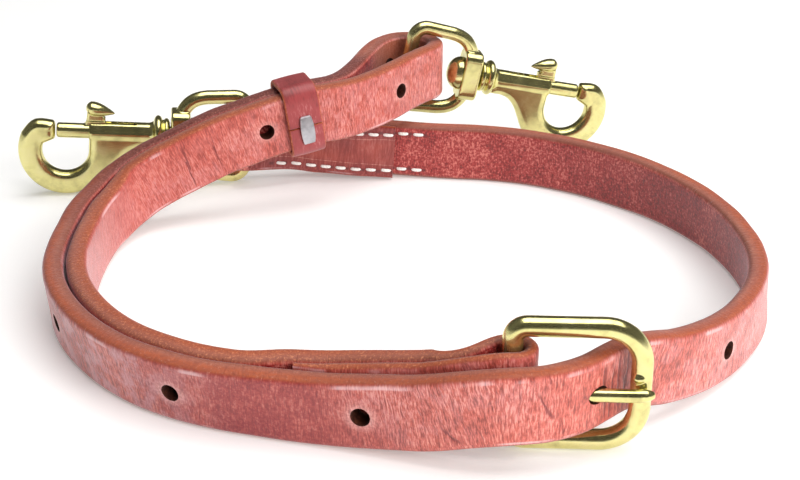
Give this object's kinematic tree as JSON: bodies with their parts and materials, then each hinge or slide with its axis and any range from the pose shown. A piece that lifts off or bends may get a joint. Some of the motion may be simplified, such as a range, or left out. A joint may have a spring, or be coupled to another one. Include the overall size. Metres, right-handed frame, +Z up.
{
  "type": "tie-down martingale",
  "caption": "Tie-down martingale strap of russet leather, buckled into a ring, with a sliding keeper and a brass swivel bolt snap at each end.",
  "frame": {"origin": "middle of the footprint on the floor that the ring stands on", "axes": "+X to the right along the ring's length as pictured, +Y away from the viewer, +Z up"},
  "size_m": [0.2342, 0.217, 0.051],
  "materials": {
    "russet_leather": "oiled russet harness leather with pale scuffs",
    "keeper_leather": "oiled darker red leather",
    "waxed_thread": "waxed white thread",
    "polished_brass": "polished",
    "staple_metal": "dull plated",
    "spring_metal": "drawn wire"
  },
  "bodies": {
    "strap": {"strap": "russet_leather", "buckle_frame": "polished_brass", "snap_end_thread_outer_upper": "waxed_thread", "snap_end_thread_outer_lower": "waxed_thread", "snap_end_thread_inner_upper": "waxed_thread", "snap_end_thread_inner_lower": "waxed_thread", "buckle_end_thread_outer_upper": "waxed_thread", "buckle_end_thread_outer_lower": "waxed_thread", "buckle_end_thread_inner_upper": "waxed_thread", "buckle_end_thread_inner_lower": "waxed_thread"},
    "tongue": {"buckle_tongue": "polished_brass"},
    "keeper": {"keeper_band": "keeper_leather", "keeper_staple": "staple_metal"},
    "left_eye": {"left_swivel_eye": "polished_brass"},
    "left_snap": {"left_snap_body": "polished_brass", "left_swivel_rivet": "polished_brass", "left_bolt_spring": "spring_metal"},
    "left_bolt": {"left_snap_bolt": "polished_brass"},
    "right_eye": {"right_swivel_eye": "polished_brass"},
    "right_snap": {"right_snap_body": "polished_brass", "right_swivel_rivet": "polished_brass", "right_bolt_spring": "spring_metal"},
    "right_bolt": {"right_snap_bolt": "polished_brass"}
  },
  "joints": [
    {"name": "tongue_play", "type": "hinge", "parent": "strap", "child": "tongue", "pos_m": [0.03774, -0.09467, 0.018], "axis": [0, 0, -1], "range_deg": [0, 1.2]},
    {"name": "keeper_slide", "type": "slide", "parent": "strap", "child": "keeper", "axis": [0.9299, 0.3396, 0.1413], "range_m": [-0.004, 0.003]},
    {"name": "left_eye_swing", "type": "hinge", "parent": "strap", "child": "left_eye", "pos_m": [-0.04182, 0.07299, 0.0166], "axis": [0, 0, 1], "range_deg": [-90, 0]},
    {"name": "left_swivel", "type": "hinge", "parent": "left_eye", "child": "left_snap", "pos_m": [-0.04182, 0.07299, 0.0166], "axis": [-0.9828, -0.1557, 0.0992], "continuous": true},
    {"name": "left_bolt_slide", "type": "slide", "parent": "left_snap", "child": "left_bolt", "axis": [0.9828, 0.1557, -0.0992], "range_m": [0, 0.0065], "stiffness_N_per_m": 400, "springref_m": -0.004, "deforming": ["left_bolt_spring"]},
    {"name": "right_eye_swing", "type": "hinge", "parent": "strap", "child": "right_eye", "pos_m": [0.0137, 0.09325, 0.03567], "axis": [0, 0, 1], "range_deg": [-5, 60]},
    {"name": "right_swivel", "type": "hinge", "parent": "right_eye", "child": "right_snap", "pos_m": [0.0137, 0.09325, 0.03567], "axis": [0.9618, 0.1696, -0.2148], "continuous": true},
    {"name": "right_bolt_slide", "type": "slide", "parent": "right_snap", "child": "right_bolt", "axis": [-0.9618, -0.1696, 0.2148], "range_m": [0, 0.0065], "stiffness_N_per_m": 400, "springref_m": -0.004, "deforming": ["right_bolt_spring"]}
  ]
}
